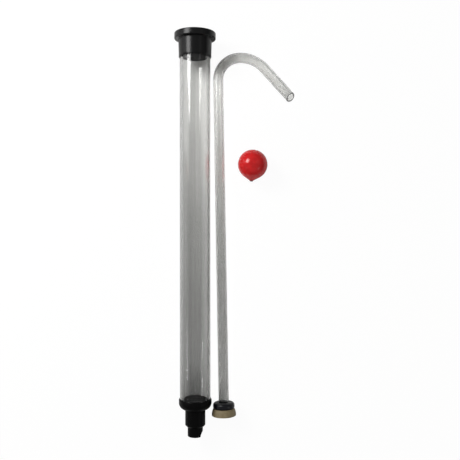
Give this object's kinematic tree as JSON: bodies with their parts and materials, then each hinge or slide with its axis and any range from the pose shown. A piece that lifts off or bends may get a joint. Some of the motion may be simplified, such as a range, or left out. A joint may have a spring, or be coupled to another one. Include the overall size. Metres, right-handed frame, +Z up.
{
  "type": "gravel vacuum siphon",
  "caption": "Aquarium gravel siphon laid out flat: clear barrel with finger collar and valve foot, clear hooked cane with a cup piston, and a red priming bulb.",
  "frame": {"origin": "middle of the laid-out pieces' bounding box, at the height of the table they lie on", "axes": "+Y along the barrel towards its open collar, +X from the barrel towards the hook's open end, +Z up from the table"},
  "size_m": [0.1276, 0.4235, 0.0435],
  "materials": {
    "clear_barrel": "clear, polished acrylic",
    "clear_cane": "clear, bent acrylic tube",
    "black_collar": "glossy moulded plastic",
    "black_foot": "satin moulded plastic",
    "black_rubber": "matt rubber",
    "valve_plastic": "satin grey moulded plastic",
    "valve_rubber": "soft brown rubber",
    "stem_plastic": "off-white moulded plastic",
    "piston_black": "satin black moulded plastic",
    "ring_black": "smooth black moulded plastic",
    "tan_rubber": "tan moulded rubber with faint rings",
    "washer_steel": "plain stainless steel",
    "red_rubber": "smooth red rubber",
    "nozzle_brown": "dark brown plastic"
  },
  "bodies": {
    "barrel": {"barrel_tube": "clear_barrel", "collar": "black_collar"},
    "foot": {"foot_cap": "black_foot", "foot_gasket": "black_rubber", "valve_cage": "valve_plastic"},
    "valve": {"valve_disc": "valve_rubber", "valve_stem": "stem_plastic"},
    "piston": {"piston_hub": "piston_black", "hub_seal": "black_rubber", "piston_ring": "ring_black", "piston_cup": "tan_rubber", "cup_washer": "washer_steel", "piston_nut": "piston_black"},
    "cane": {"cane_tube": "clear_cane"},
    "bulb": {"priming_bulb": "red_rubber", "bulb_nozzle": "nozzle_brown"}
  },
  "joints": [
    {"name": "foot_pull", "type": "slide", "parent": "barrel", "child": "foot", "axis": [0, -0.9999, -0.0117], "range_m": [0, 0.03]},
    {"name": "valve_lift", "type": "slide", "parent": "foot", "child": "valve", "axis": [0, 0.9999, 0.0117], "range_m": [0, 0.0038]},
    {"name": "piston_stroke", "type": "slide", "parent": "barrel", "child": "piston", "axis": [0, 1, 0], "range_m": [0, 0.345]},
    {"name": "cane_swivel", "type": "hinge", "parent": "piston", "child": "cane", "pos_m": [-0.01191, -0.19117, 0.01298], "axis": [0.0174, -0.9996, 0.02], "range_deg": [0, 90]},
    {"name": "bulb_lift", "type": "slide", "parent": "barrel", "child": "bulb", "axis": [0, 0, 1], "range_m": [0, 0.05]}
  ]
}
